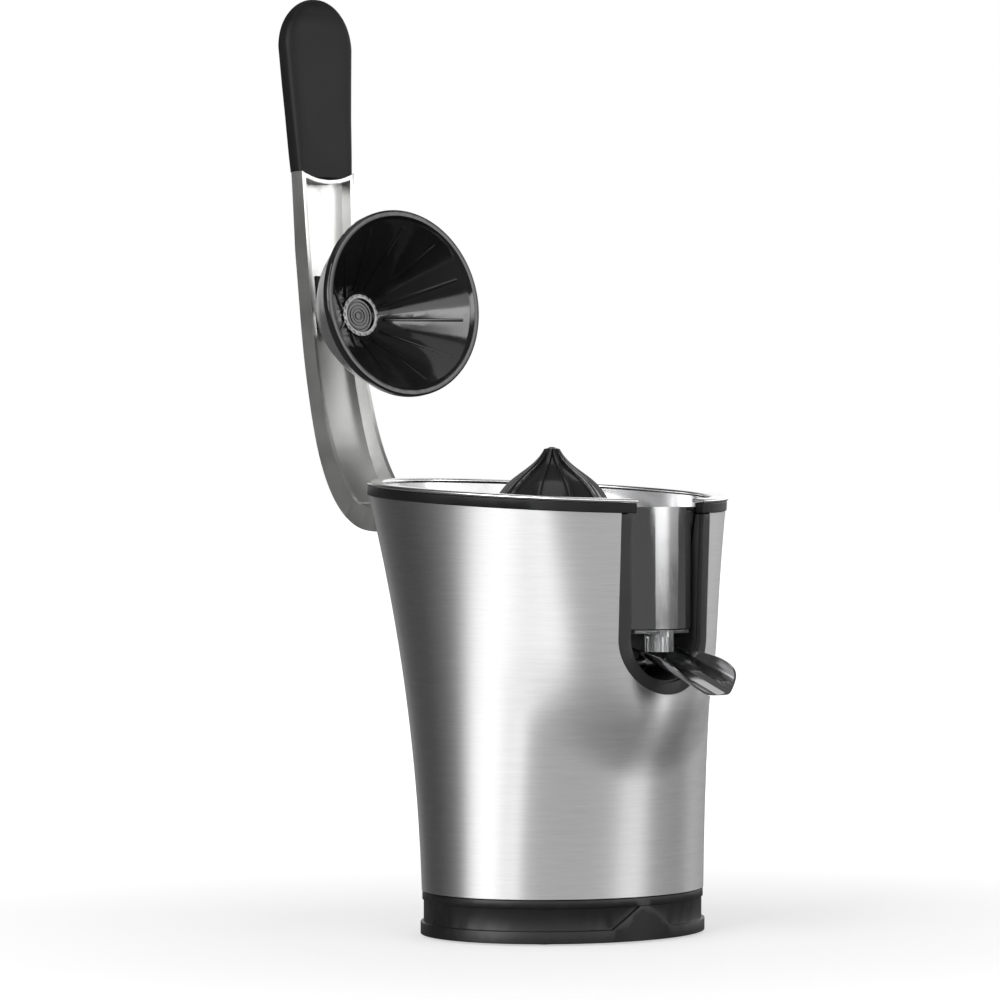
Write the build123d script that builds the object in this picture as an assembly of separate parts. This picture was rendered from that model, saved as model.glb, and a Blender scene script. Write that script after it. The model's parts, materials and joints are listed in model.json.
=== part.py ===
from build123d import *
import math
import os

# Lever-type citrus press.  Millimetres, +Z up.  The origin is on the table, on the spin axis
# of the reamer cone.  -Y is the front (pouring spout), +Y the back (lever hinge).

os.makedirs("parts", exist_ok=True)

# ---- flared body: two ellipses joined by a hollow-sided flare --------------------------------
BASE_TOP = 23.0            # height of the joint between plastic base and steel shell
FLARE_RISE = 196.7         # from that joint to the steel rim, on the cone's axis
FOOT_HALF_X, FOOT_HALF_Y, FOOT_CENTRE_Y = 76.4, 64.5, -9.25
RIM_HALF_X, RIM_HALF_Y, RIM_CENTRE_Y = 84.5, 102.1, 5.3
RIM_TILT = 3.26            # degrees; the rim rises towards the back
FLARE_LINEAR = 0.24        # share of the flare that is straight, the rest is parabolic
SHEET = 0.8                # steel sheet
HOUSING_IN, HOUSING_WALL = 2.9, 1.5
TANK_IN = 5.2
COLLAR_HEIGHT = 5.0
LIP_HEIGHT = 2.0
HOUSING_FLOOR_Z = 149.0

# ---- recess, tank and outlet at the front ----------------------------------------------------
RECESS_HALF = 21.5         # inside half width of the U recess
TRIM_HALF = 28.5           # outside half width of its frame
RECESS_ROUND_Z = 153.0     # centre height of the recess's round bottom
NICHE_FRONT_Y, NICHE_BACK_Y = -74.0, -60.0
LOBE_HALF, LOBE_FRONT_Y, LOBE_BACK_Y = 20.8, -92.0, -64.0
LOBE_BOW_R = 40.0          # the channel's front is bowed to this radius
LOBE_TOP_Z, LOBE_FLOOR_Z = 217.6, 157.0
TANK_FLOOR_Z = 173.0
OUTLET_Y, OUTLET_R, OUTLET_BOTTOM_Z = -85.5, 7.2, 145.6
CHIMNEY_R, CHIMNEY_BORE, CHIMNEY_TOP_Z = 9.0, 7.0, 206.0

# ---- spout -----------------------------------------------------------------------------------
SPOUT_R, SPOUT_SHEET = 24.0, 1.0
SPOUT_SLOPE = 19.7         # degrees down towards the front
SPOUT_AXLE = (-78.0, 140.3)
SPOUT_AXLE_R = 1.75

# ---- drive -----------------------------------------------------------------------------------
SHAFT_R, SHAFT_HEX = 4.0, 6.9
OUTPUT_TEETH, PINION_TEETH = 56, 14
STAGE_1, STAGE_2 = 0.8, 1.0            # gear modules
STAGE_1_CENTRES = STAGE_1 * (OUTPUT_TEETH + PINION_TEETH) / 2
STAGE_2_CENTRES = STAGE_2 * (OUTPUT_TEETH + PINION_TEETH) / 2
MOTOR_Y = -24.0
IDLER_Y = -(STAGE_2_CENTRES ** 2 - STAGE_1_CENTRES ** 2 + MOTOR_Y ** 2) / (-2 * MOTOR_Y)
IDLER_X = math.sqrt(STAGE_2_CENTRES ** 2 - IDLER_Y ** 2)
GEARBOX_FLOOR_Z, GEARBOX_TOP_Z = 98.0, 130.0
STATOR_LOW_Z, STATOR_HIGH_Z = 44.0, 78.0

# ---- lever, grip and pressing cup ------------------------------------------------------------
HINGE_Y, HINGE_Z = 114.05, 213.4
EYE_R = 9.3
HINGE_PIN_R = 3.0
KNUCKLE_HALF = 13.8
LEVER_WALL = 2.4
LEVER_TOP_Z, LEVER_TOP_FRONT, LEVER_TOP_BACK = 401.0, 196.6, 206.8
LEVER_HALF_LOW, LEVER_HALF_HINGE, LEVER_HALF_WAIST, LEVER_HALF_TOP = 18.4, 18.0, 16.4, 17.5
LEVER_WAIST_Z = 345.0
GRIP_HALF_LOW, GRIP_HALF_TOP = 17.9, 22.2
GRIP_ARC_R, GRIP_ARC_Z = 36.5, 433.1   # the sagging edge where the grip meets the arm
TANG = ((-9.0, 9.0), (202.2, 206.0), (395.6, 462.0))
CUP_CENTRE = (126.0, 326.8)            # y, z of the mouth's centre with the lever up
CUP_LIFT = 7.5                         # degrees by which the mouth faces up
CUP_R = 50.6
CUP_PIVOT_DEPTH = 64.0
CUP_PIVOT = (CUP_CENTRE[0] + CUP_PIVOT_DEPTH * math.cos(math.radians(CUP_LIFT)),
             CUP_CENTRE[1] - CUP_PIVOT_DEPTH * math.sin(math.radians(CUP_LIFT)))

parts = {}


# ---- shared shapes ---------------------------------------------------------------------------
def fraction(z):
    """Height fraction of the flare at height z on the cone's axis."""
    return (z - BASE_TOP) / FLARE_RISE


def rim_plane(fraction_up, centre_y):
    """Cross-section plane, level at the foot and tilted at the rim."""
    tilt = math.radians(RIM_TILT * fraction_up)
    height = BASE_TOP + FLARE_RISE * fraction_up + math.tan(tilt) * centre_y
    return Plane(origin=(0, centre_y, height), x_dir=(1, 0, 0),
                 z_dir=(0, -math.sin(tilt), math.cos(tilt)))


def body_outline(fraction_up, inset=0.0):
    """The body's oval at one height fraction, moved inwards by inset."""
    blend = FLARE_LINEAR * fraction_up + (1 - FLARE_LINEAR) * fraction_up ** 2
    half_x = FOOT_HALF_X + (RIM_HALF_X - FOOT_HALF_X) * blend - inset
    half_y = FOOT_HALF_Y + (RIM_HALF_Y - FOOT_HALF_Y) * blend - inset
    centre_y = FOOT_CENTRE_Y + (RIM_CENTRE_Y - FOOT_CENTRE_Y) * blend
    return rim_plane(fraction_up, centre_y) * Ellipse(half_x, half_y)


def flared(inset, low, high, steps=6):
    """Solid of the flared body between two height fractions."""
    step = (high - low) / (steps - 1)
    return loft([body_outline(low + step * i, inset) for i in range(steps)])


def rim_ring(outset, inset, low, high):
    """Oval ring on the tilted rim plane, from low to high above it."""
    plane = rim_plane(1.0, RIM_CENTRE_Y)
    outline = Ellipse(RIM_HALF_X + outset, RIM_HALF_Y + outset)
    outline -= Ellipse(RIM_HALF_X - inset, RIM_HALF_Y - inset)
    return extrude(plane.offset(low) * outline, amount=high - low)


def foot_oval(outset, low, high):
    """Level oval slab with the foot's outline."""
    outline = Ellipse(FOOT_HALF_X + outset, FOOT_HALF_Y + outset)
    return extrude(Plane((0, FOOT_CENTRE_Y, low)) * outline, amount=high - low)


def block(x, y, z):
    """Box from three (low, high) pairs."""
    size = (x[1] - x[0], y[1] - y[0], z[1] - z[0])
    return Pos((x[0] + x[1]) / 2, (y[0] + y[1]) / 2, (z[0] + z[1]) / 2) * Box(*size)


def rod(radius, low, high, centre=(0, 0)):
    """Upright round bar."""
    return Pos(centre[0], centre[1], (low + high) / 2) * Cylinder(radius, high - low)


def cross_rod(radius, low, high, y, z):
    """Round bar along X."""
    bar = Rot(0, 90, 0) * Cylinder(radius, high - low)
    return Pos((low + high) / 2, y, z) * bar


def back_rod(radius, low, high, x, z):
    """Round bar along Y."""
    bar = Rot(90, 0, 0) * Cylinder(radius, high - low)
    return Pos(x, (low + high) / 2, z) * bar


def hexagon(across_flats, low, high):
    """Upright hexagonal bar on the cone's axis."""
    outline = RegularPolygon(across_flats / 2, 6, major_radius=False)
    return extrude(Plane((0, 0, low)) * outline, amount=high - low)


def recess_shape(half_width, front_y, back_y, top_z=260.0, floor_gap=0.0):
    """U-shaped prism along Y: round at the bottom, straight up to top_z."""
    round_z = RECESS_ROUND_Z - floor_gap
    outline = Pos(0, round_z) * Circle(half_width)
    outline += Pos(0, (round_z + top_z) / 2) * Rectangle(2 * half_width, top_z - round_z)
    plane = Plane(origin=(0, back_y, 0), x_dir=(1, 0, 0), z_dir=(0, -1, 0))
    return extrude(plane * outline, amount=back_y - front_y)


def side_prism(outline, half_width):
    """A Y-Z outline (a sketch drawn with x as Y and y as Z) made solid across X."""
    plane = Plane(origin=(0, 0, 0), x_dir=(0, 1, 0), z_dir=(1, 0, 0))
    return extrude(plane * outline, amount=half_width, both=True)


def front_prism(outline, low_y, high_y):
    """An X-Z outline made solid along Y."""
    plane = Plane(origin=(0, high_y, 0), x_dir=(1, 0, 0), z_dir=(0, -1, 0))
    return extrude(plane * outline, amount=high_y - low_y)


def closed_outline(*edges):
    """Face inside a loop of edges."""
    return make_face(Wire(edges))


def turned(points):
    """Solid of revolution about Z from (radius, z) corners."""
    outline = Plane.XZ * make_face(Polyline(*points, close=True))
    return revolve(outline, Axis.Z)


def spur_gear(module, teeth, low, high, centre, turn, backlash=0.14):
    """Involute spur gear, 20 degree pressure angle, with a tooth centred on the angle turn."""
    pitch_r = module * teeth / 2
    base_r = pitch_r * math.cos(math.radians(20))
    tip_r = pitch_r + 0.85 * module
    root_r = pitch_r - 1.1 * module
    involute = math.tan(math.radians(20)) - math.radians(20)
    half_tooth = math.pi / (2 * teeth) - backlash / (2 * pitch_r)

    def half_angle(radius):
        if radius <= base_r:
            return half_tooth + involute
        angle = math.acos(base_r / radius)
        return half_tooth + involute - math.tan(angle) + angle

    def at(radius, angle):
        return (radius * math.cos(angle), radius * math.sin(angle))

    flank_r = max(base_r, root_r)
    middle_r = (flank_r + tip_r) / 2
    edges = []
    for tooth in range(teeth):
        mid = math.radians(turn) + 2 * math.pi * tooth / teeth
        nxt = mid + 2 * math.pi / teeth
        flank, middle, tip = half_angle(flank_r), half_angle(middle_r), half_angle(tip_r)
        if flank_r > root_r:
            edges.append(Line(at(root_r, mid - flank), at(flank_r, mid - flank)))
        edges.append(ThreePointArc(at(flank_r, mid - flank), at(middle_r, mid - middle),
                                   at(tip_r, mid - tip)))
        edges.append(ThreePointArc(at(tip_r, mid - tip), at(tip_r, mid), at(tip_r, mid + tip)))
        edges.append(ThreePointArc(at(tip_r, mid + tip), at(middle_r, mid + middle),
                                   at(flank_r, mid + flank)))
        if flank_r > root_r:
            edges.append(Line(at(flank_r, mid + flank), at(root_r, mid + flank)))
        edges.append(ThreePointArc(at(root_r, mid + flank), at(root_r, (mid + nxt) / 2),
                                   at(root_r, nxt - flank)))
    outline = make_face(Wire(edges))
    return extrude(Plane((centre[0], centre[1], low)) * outline, amount=high - low)


def screw(radius, length, head_r, head_h):
    """Screw pointing down from z = 0, head above, with a cross slot."""
    body = rod(radius, -length, 0) + rod(head_r, 0, head_h)
    for quarter in (0, 90):
        body -= Pos(0, 0, head_h) * Rot(0, 0, quarter) * Box(head_r * 1.3, head_r * 0.28, head_h)
    return body


# ---- base ------------------------------------------------------------------------------------
POSTS = [(-57.0, -36.0), (57.0, -36.0), (-50.0, 23.0), (50.0, 23.0)]
POST_R = 4.6
FOOT_PLACES = [(-42.0, -46.0), (42.0, -46.0), (-36.0, 33.0), (36.0, 33.0)]
BASE_BOTTOM = 1.0
BAND_Z, PLINTH_Z = 18.4, 7.2


def base_parts():
    """Plastic base ring, bottom cover, feet, base screws and the cord inlet."""
    ring = foot_oval(-1.0, BASE_BOTTOM, BASE_TOP)
    ring += foot_oval(-0.3, BAND_Z, BASE_TOP - 0.5)
    plinth = foot_oval(0.6, BASE_BOTTOM, PLINTH_Z)
    ramp = make_face(Polyline((-19, PLINTH_Z), (-3, BAND_Z), (3, BAND_Z), (19, PLINTH_Z), close=True))
    plinth += front_prism(ramp, -90, -40) & foot_oval(0.6, BASE_BOTTOM, BAND_Z)
    ring += plinth
    ring -= foot_oval(-4.0, BASE_BOTTOM - 1, BASE_TOP + 1)
    ledge = foot_oval(-2.4, 5.4, 7.6) - foot_oval(-8.5, 5, 8)
    ring += ledge
    ring += foot_oval(-2.0, BASE_TOP - 1.0, BASE_TOP + 5.0) - foot_oval(-4.0, BASE_TOP - 2, BASE_TOP + 6)
    ring -= back_rod(5.5, 40, 70, 0, 13.4)
    for x, y in POSTS:
        ring -= rod(POST_R + 0.2, 3, 40, (x, y))
    parts["base_ring"] = ring

    cover = foot_oval(-4.2, 2.4, 5.2)
    for x, y in POSTS:
        cover -= rod(2.1, 0, 10, (x, y))
        cover -= rod(4.4, 0, 3.6, (x, y))
    for x, y in FOOT_PLACES:
        cover -= rod(3.2, 0, 10, (x, y))
    for row in range(-4, 5):
        cover -= block((-24, 24), (MOTOR_Y + row * 5.4 - 1.3, MOTOR_Y + row * 5.4 + 1.3), (0, 10))
    parts["base_cover"] = cover

    feet = []
    for x, y in FOOT_PLACES:
        foot = turned([(0, 0), (6.2, 0), (7.2, 1.2), (7.2, 2.4), (3.15, 2.4), (3.15, 5.2),
                       (4.0, 5.2), (3.2, 7.0), (0, 7.0)])
        feet.append(Pos(x, y, 0) * foot)
    parts["rubber_feet"] = Compound(feet)

    flip = Rot(180, 0, 0)
    parts["base_screws"] = Compound(
        [Pos(x, y, 3.6) * flip * screw(2.0, 12.0, 4.0, 1.6) for x, y in POSTS])

    gland = back_rod(5.5, 45.8, 58.4, 0, 13.4) + back_rod(6.1, 55.1, 57.4, 0, 13.4)
    gland += back_rod(5.8, 48.2, 50.8, 0, 13.4)
    gland -= back_rod(3.6, 40, 70, 0, 13.4)
    parts["cord_inlet"] = gland


# ---- shell, housing, collar and recess -------------------------------------------------------
BRACKET_HALF, BRACKET_LOW, BRACKET_HIGH = 26.0, 168.0, 219.0
RIVETS = [(-20.0, 176.0), (20.0, 176.0), (-20.0, 210.0), (20.0, 210.0)]
LAND_EDGE, LAND_REACH = 1.0, 46.0      # the land round the recess fades out over this distance
UPRIGHT_LOW_Z, UPRIGHT_LOW_X, UPRIGHT_LOW_Y = 105.0, 82.0, 97.3
OUTLINE_POINTS = 72


def frame_form(inset=0.0):
    """Near-upright oval form whose front carries the recess frame's face."""
    oval = Ellipse(UPRIGHT_LOW_X - inset, UPRIGHT_LOW_Y - inset)
    low = Plane((0, RIM_CENTRE_Y, UPRIGHT_LOW_Z)) * oval
    return loft([low, body_outline(1.01, inset)])


def front_bulge(x, z, half_x, half_y, centre_y):
    """How far the sheet stands out ahead of the flare at (x, z) to meet the recess frame."""
    outside = math.hypot(x, min(0.0, z - RECESS_ROUND_Z)) - TRIM_HALF
    near = 1.0 - min(1.0, max(0.0, outside - LAND_EDGE) / LAND_REACH)
    share = near ** 3 * (near * (near * 6 - 15) + 10)
    if share == 0:
        return 0.0
    rise = BASE_TOP + FLARE_RISE - UPRIGHT_LOW_Z
    up = (z + 80.0 * math.tan(math.radians(RIM_TILT)) - UPRIGHT_LOW_Z) / rise
    upright_x = UPRIGHT_LOW_X + (RIM_HALF_X - UPRIGHT_LOW_X) * up
    upright_y = UPRIGHT_LOW_Y + (RIM_HALF_Y - UPRIGHT_LOW_Y) * up
    flare_front = centre_y - half_y * math.sqrt(max(0.0, 1 - (x / half_x) ** 2))
    upright_front = RIM_CENTRE_Y - upright_y * math.sqrt(max(0.0, 1 - (x / upright_x) ** 2))
    return max(0.0, flare_front - upright_front) * share


def sheet_outline(fraction_up, inset):
    """The sheet's outline at one height fraction: the oval, drawn forward near the recess."""
    blend = FLARE_LINEAR * fraction_up + (1 - FLARE_LINEAR) * fraction_up ** 2
    half_x = FOOT_HALF_X + (RIM_HALF_X - FOOT_HALF_X) * blend
    half_y = FOOT_HALF_Y + (RIM_HALF_Y - FOOT_HALF_Y) * blend
    centre_y = FOOT_CENTRE_Y + (RIM_CENTRE_Y - FOOT_CENTRE_Y) * blend
    tilt = math.radians(RIM_TILT * fraction_up)
    front_z = BASE_TOP + FLARE_RISE * fraction_up - 85.0 * math.tan(tilt)
    points = []
    for step in range(OUTLINE_POINTS):
        turn = 2 * math.pi * (step + 0.5) / OUTLINE_POINTS
        x = (half_x - inset) * math.cos(turn)
        y = (half_y - inset) * math.sin(turn)
        if y < 0:
            y -= front_bulge(x, front_z, half_x, half_y, centre_y)
        points.append((x, y))
    return rim_plane(fraction_up, centre_y) * make_face(Spline(*points, periodic=True))


def shell_body(inset, low, high, steps=17):
    """Outer body of the sheet: the flare with a land that swells up to the recess."""
    step = (high - low) / (steps - 1)
    return loft([sheet_outline(low + step * i, inset) for i in range(steps)])


def shell_parts():
    """Steel shell, inner housing with its posts, collar, rim trim and recess lining."""
    notch = block((-14.6, 14.6), (80, 130), (203.0, 221.5))
    shell = shell_body(0.0, 0.0, 1.0)
    shell -= shell_body(SHEET, -0.01, 1.01)
    shell -= recess_shape(TRIM_HALF + 0.1, -130, -60)
    shell -= rim_ring(6.0, 30.0, 0.0, 8.0)
    shell -= notch
    parts["outer_shell"] = shell

    floor_at = fraction(HOUSING_FLOOR_Z)
    housing = flared(HOUSING_IN, floor_at, 1.0)
    housing -= flared(HOUSING_IN + HOUSING_WALL, fraction(HOUSING_FLOOR_Z + 3), 1.01)
    for x, y in POSTS:
        housing += rod(POST_R, 5.3, HOUSING_FLOOR_Z + 1.5, (x, y))
        housing -= rod(2.0, 5.0, 20.0, (x, y))
    housing -= recess_shape(RECESS_HALF + 1.7, -130, NICHE_BACK_Y + 1.7)
    housing -= recess_shape(TRIM_HALF + 0.1, -130, NICHE_FRONT_Y + 0.1)
    housing -= rod(10.2, 140, 160)
    housing -= notch
    for x, z in RIVETS:
        housing -= back_rod(2.0, 60, 120, x, z)
    for x, y in COVER_POSTS:
        housing -= rod(2.1, 140, 160, (x, y))
    parts["inner_housing"] = housing

    trim = recess_shape(TRIM_HALF, -120, NICHE_FRONT_Y, 213.9)
    trim &= frame_form()
    trim -= recess_shape(RECESS_HALF, -130, -60)
    trim -= recess_shape(RECESS_HALF + 1.0, -130, -60) - frame_form(2.6)
    trim -= flared(TANK_IN - 0.4, fraction(TANK_FLOOR_Z - 4.0), 1.02)
    for side in (-1, 1):
        low, high = sorted((side * 15.0, side * 23.2))
        trim -= cross_rod(SPOUT_AXLE_R + 0.06, low, high, *SPOUT_AXLE)
    parts["recess_frame"] = trim

    lining = recess_shape(RECESS_HALF + 1.5, NICHE_FRONT_Y, NICHE_BACK_Y + 1.5, 167.0)
    lining -= recess_shape(RECESS_HALF, -130, NICHE_BACK_Y, 260.0)
    lining -= block((-30, 30), (-130, -50), (TANK_FLOOR_Z - 6.0, 200))
    parts["recess_lining"] = lining

    opening = block((-RECESS_HALF, RECESS_HALF), (-130, -50), (200, 240))
    collar = rim_ring(0.6, 4.9, 0.0, COLLAR_HEIGHT) - opening
    skirt = flared(1.0, 0.97, 1.0) - flared(2.7, 0.96, 1.0)
    skirt -= block((-62, 62), (-130, -50), (180, 240)) + block((-27, 27), (50, 130), (180, 240))
    collar += skirt
    collar -= notch
    parts["top_collar"] = collar

    trim_ring = rim_ring(1.2, 7.6, COLLAR_HEIGHT, COLLAR_HEIGHT + LIP_HEIGHT)
    trim_ring = fillet(trim_ring.edges(), 0.9)
    trim_ring -= opening
    parts["rim_trim"] = trim_ring


# ---- juice tank, outlet, strainer ------------------------------------------------------------
def lobe(inset, floor_z, top_z, back_y):
    """Upright box with a bowed front and rounded front corners."""
    body = block((-LOBE_HALF + inset, LOBE_HALF - inset), (LOBE_FRONT_Y - 1, back_y),
                 (floor_z, top_z))
    body &= rod(LOBE_BOW_R - inset, floor_z, top_z, (0, LOBE_FRONT_Y + LOBE_BOW_R))
    corners = body.edges().filter_by(Axis.Z).group_by(Axis.Y)[0]
    return fillet(corners, 3.4 - inset)


def tank_parts():
    """Oval steel tank with its welded front channel, outlet nozzle and seal."""
    tank = flared(TANK_IN, fraction(TANK_FLOOR_Z), 1.0)
    tank += rim_ring(-TANK_IN, TANK_IN + SHEET, -0.3, COLLAR_HEIGHT - 0.2)
    tank -= block((-RECESS_HALF, RECESS_HALF), (-130, -60), (LOBE_TOP_Z, 240))
    tank += lobe(0.0, LOBE_FLOOR_Z, LOBE_TOP_Z, LOBE_BACK_Y)
    tank -= flared(TANK_IN + SHEET, fraction(TANK_FLOOR_Z + SHEET), 1.0)
    tank -= lobe(SHEET, LOBE_FLOOR_Z + SHEET, 240, LOBE_BACK_Y - SHEET)
    tank += rod(CHIMNEY_R, TANK_FLOOR_Z - 0.6, CHIMNEY_TOP_Z)
    tank += rod(CHIMNEY_R + 2.6, 187.5, 190.0)
    tank -= rod(CHIMNEY_BORE, 160, 230)
    tank -= rod(5.2, 150, 165, (0, OUTLET_Y))
    channel_space = block((-LOBE_HALF, LOBE_HALF), (LOBE_FRONT_Y - 2, LOBE_BACK_Y), (150, 240))
    parts["tank_channel"] = tank & channel_space
    parts["juice_tank"] = tank - channel_space

    plate = block((-17.6, 17.6), (-91.6, -70.0), (LOBE_FLOOR_Z - 2.2, LOBE_FLOOR_Z - 0.6))
    plate &= rod(LOBE_BOW_R - 0.5, 150, 160, (0, LOBE_FRONT_Y + LOBE_BOW_R))
    nozzle = plate + rod(OUTLET_R, OUTLET_BOTTOM_Z, LOBE_FLOOR_Z - 1.0, (0, OUTLET_Y))
    for rib in range(12):
        turn = Pos(0, OUTLET_Y, 0) * Rot(0, 0, rib * 30)
        nozzle -= turn * (Pos(OUTLET_R + 0.3, 0, 148) * Cylinder(0.9, 10))
    nozzle += rod(5.1, LOBE_FLOOR_Z - 1.0, LOBE_FLOOR_Z + 1.4, (0, OUTLET_Y))
    nozzle -= rod(3.8, 140, 170, (0, OUTLET_Y))
    parts["outlet_nozzle"] = nozzle

    seal = rod(6.2, LOBE_FLOOR_Z - 0.6, LOBE_FLOOR_Z, (0, OUTLET_Y))
    parts["outlet_seal"] = seal - rod(5.2, 150, 160, (0, OUTLET_Y))

    bush = rod(CHIMNEY_BORE - 0.02, 188.0, 203.0) - rod(SHAFT_R + 0.06, 180, 210)
    parts["shaft_bush"] = bush
    lip = turned([(SHAFT_R + 0.05, 203.2), (CHIMNEY_BORE - 0.02, 203.2), (CHIMNEY_BORE - 0.02, 205.6),
                  (SHAFT_R + 1.4, 205.6), (SHAFT_R + 0.05, 204.6)])
    parts["shaft_seal"] = lip

    strainer = rod(64.0, 196.0, 197.2)
    strainer += rod(64.0, 196.0, 201.0) - rod(62.6, 190, 205)
    strainer += rod(11.6, 190.0, 204.2)
    strainer -= rod(CHIMNEY_R + 0.1, 180, 210)
    for row, (inner, count) in enumerate(((17.0, 24), (31.0, 36), (46.0, 48))):
        for step in range(count):
            turn = Rot(0, 0, (step + 0.5 * (row % 2)) * 360 / count)
            strainer -= turn * Pos(inner + 5.5, 0, 196.6) * Box(11.0, 1.6, 4.0)
    parts["strainer"] = strainer


# ---- reamer cone -----------------------------------------------------------------------------
CONE_LOW, CONE_TIP_Z, CONE_R = 201.0, 247.5, 33.0


def ogive(extra):
    """Half outline of the cone's dome, widened by extra."""
    shoulder = (CONE_R + extra, CONE_LOW + 3.0)
    tip = (1.6 + extra, CONE_TIP_Z - 1.0 + extra * 0.3)
    top = (0, CONE_TIP_Z + extra * 0.3)
    belly = (20.0 + extra, 230.0)
    curve = Spline(shoulder, belly, tip, tangents=((-0.25, 1.0), (-0.45, 0.9)))
    return make_face(Wire([Line((0, CONE_LOW), (CONE_R + extra, CONE_LOW)),
                           Line((CONE_R + extra, CONE_LOW), shoulder), curve, Line(tip, top),
                           Line(top, (0, CONE_LOW))]))


def cone_part():
    """Ribbed reamer with a hexagon socket that sits on the shaft."""
    cone = revolve(Plane.XZ * ogive(0.0), Axis.Z)
    fin_half = extrude(Plane.XZ * ogive(2.4), amount=1.1, both=True)
    for rib in range(10):
        cone += Rot(0, 0, rib * 36) * fin_half
    cone &= rod(CONE_R + 1.2, CONE_LOW, 260)
    cone -= turned([(0, 190), (30.4, 190), (30.4, 204.0), (14.0, 226.0), (0, 226.0)])
    cone += rod(7.8, 209.0, 228.0)
    cone -= hexagon(SHAFT_HEX + 0.16, 200, 225.6)
    parts["reamer_cone"] = cone


# ---- drive: shaft, gears, gearbox, motor, switch ---------------------------------------------
COVER_POSTS = [(-24.0, 17.0), (24.0, 17.0), (30.0, -38.0)]
ROTOR = (0.0, MOTOR_Y)
IDLER = (IDLER_X, IDLER_Y)


def housing_underside(y):
    """Height of the housing's sloping floor, seen from below, at one distance back."""
    tilt = math.radians(RIM_TILT * fraction(HOUSING_FLOOR_Z))
    return HOUSING_FLOOR_Z + math.tan(tilt) * y


def gearbox_outline(grow):
    """Plan of the gearbox: round lobes over the gears that run into one another."""
    outline = Circle(33.0 + grow)
    outline += Pos(*IDLER) * Circle(27.5 + grow)
    outline += Pos(*ROTOR) * Circle(16.0 + grow)
    return outline


def drive_parts():
    """Shaft, spring, gear train and gearbox."""
    shaft = rod(SHAFT_R, 141.4, 208.4) + hexagon(SHAFT_HEX, 99.5, 142.0)
    shaft += hexagon(SHAFT_HEX, 208.0, 224.8)
    shaft += rod(2.6, 97.0, 100.0)
    parts["drive_shaft"] = shaft
    parts["spring_collar"] = rod(7.6, 150.0, 152.0) - rod(SHAFT_R, 140, 160)

    coil = Helix(pitch=2.05, height=10.25, radius=6.2)
    section = Plane(origin=coil @ 0, z_dir=coil % 0) * Circle(0.55)
    parts["return_spring"] = Pos(0, 0, 138.9) * sweep(section, path=coil, is_frenet=True)

    towards_idler = math.degrees(math.atan2(IDLER[1] - ROTOR[1], IDLER[0] - ROTOR[0]))
    towards_shaft = math.degrees(math.atan2(-IDLER[1], -IDLER[0]))
    facing_gap = 180 + 180 / OUTPUT_TEETH

    pinion = spur_gear(STAGE_1, PINION_TEETH, 105.5, 114.5, ROTOR, towards_idler)
    parts["motor_pinion"] = pinion - rod(2.5, 100, 120, ROTOR)

    idler = spur_gear(STAGE_1, OUTPUT_TEETH, 106.5, 113.0, IDLER, towards_idler + facing_gap)
    idler += spur_gear(STAGE_2, PINION_TEETH, 112.5, 127.5, IDLER, towards_shaft)
    for hole in range(5):
        place = Pos(*IDLER, 0) * Rot(0, 0, hole * 72 + 20) * Pos(14.6, 0, 110)
        idler -= place * Cylinder(4.2, 12)
    idler -= rod(2.56, 100, 130, IDLER)
    parts["idler_gear"] = idler
    parts["idler_axle"] = rod(2.5, 99.0, 132.4, IDLER)

    output = spur_gear(STAGE_2, OUTPUT_TEETH, 118.0, 126.0, (0, 0), towards_shaft + facing_gap)
    output += rod(8.0, 98.6, 138.2)
    output += rod(10.2, 103.4, 118.5)
    for hole in range(6):
        output -= Rot(0, 0, hole * 60) * Pos(17.5, 0, 122) * Cylinder(5.0, 12)
    output -= hexagon(SHAFT_HEX + 0.14, 90, 145)
    parts["output_gear"] = output

    tray = extrude(Plane((0, 0, GEARBOX_FLOOR_Z)) * gearbox_outline(0), amount=32.0)
    tray -= extrude(Plane((0, 0, GEARBOX_FLOOR_Z + 3)) * gearbox_outline(-2.4), amount=40.0)
    tray -= rod(10.0, 90, 110)
    tray -= rod(7.0, 90, 110, ROTOR)
    tray -= rod(2.5, 90, 110, IDLER)
    screw_rim = []
    for x, y in GEARBOX_SCREWS:
        tray += rod(3.6, GEARBOX_FLOOR_Z, GEARBOX_TOP_Z, (x, y))
        tray -= rod(1.5, GEARBOX_TOP_Z - 14, GEARBOX_TOP_Z + 1, (x, y))
        screw_rim.append(Pos(x, y, GEARBOX_TOP_Z + 3.0) * screw(1.5, 13.0, 2.9, 1.8))
    hook = block((-11.0, 11.0), (4.2, 7.0), (84.0, GEARBOX_FLOOR_Z))
    tray += hook
    parts["gearbox_tray"] = tray

    cover = extrude(Plane((0, 0, GEARBOX_TOP_Z)) * gearbox_outline(0), amount=3.0)
    for x, y in GEARBOX_SCREWS:
        cover += rod(3.6, GEARBOX_TOP_Z, GEARBOX_TOP_Z + 3.0, (x, y))
        cover -= rod(1.5, 120, 140, (x, y))
    for x, y in COVER_POSTS:
        cover += rod(5.0, GEARBOX_TOP_Z, housing_underside(y - 5.0), (x, y))
        cover -= rod(1.6, 136, 150, (x, y))
    cover -= rod(10.0, 120, 140)
    cover -= rod(2.5, 120, 140, IDLER)
    parts["gearbox_cover"] = cover
    parts["gearbox_screws"] = Compound(screw_rim)
    parts["hanger_screws"] = Compound(
        [Pos(x, y, housing_underside(y + 3.6) + 3.1) * screw(1.6, 13.0, 3.6, 1.8) for x, y in COVER_POSTS])

    lower = rod(10.0, GEARBOX_FLOOR_Z, 101.0) + rod(12.0, 101.0, 103.0)
    upper = rod(10.0, 128.2, 133.0) + rod(12.0, 126.6, 128.2)
    bore = rod(8.06, 90, 140)
    parts["gear_bushes"] = Compound([lower - bore, upper - bore])


GEARBOX_SCREWS = [(-33.5, 4.0), (6.0, 33.2), (53.5, -12.0), (24.0, -49.8), (-17.0, -30.5)]


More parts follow.
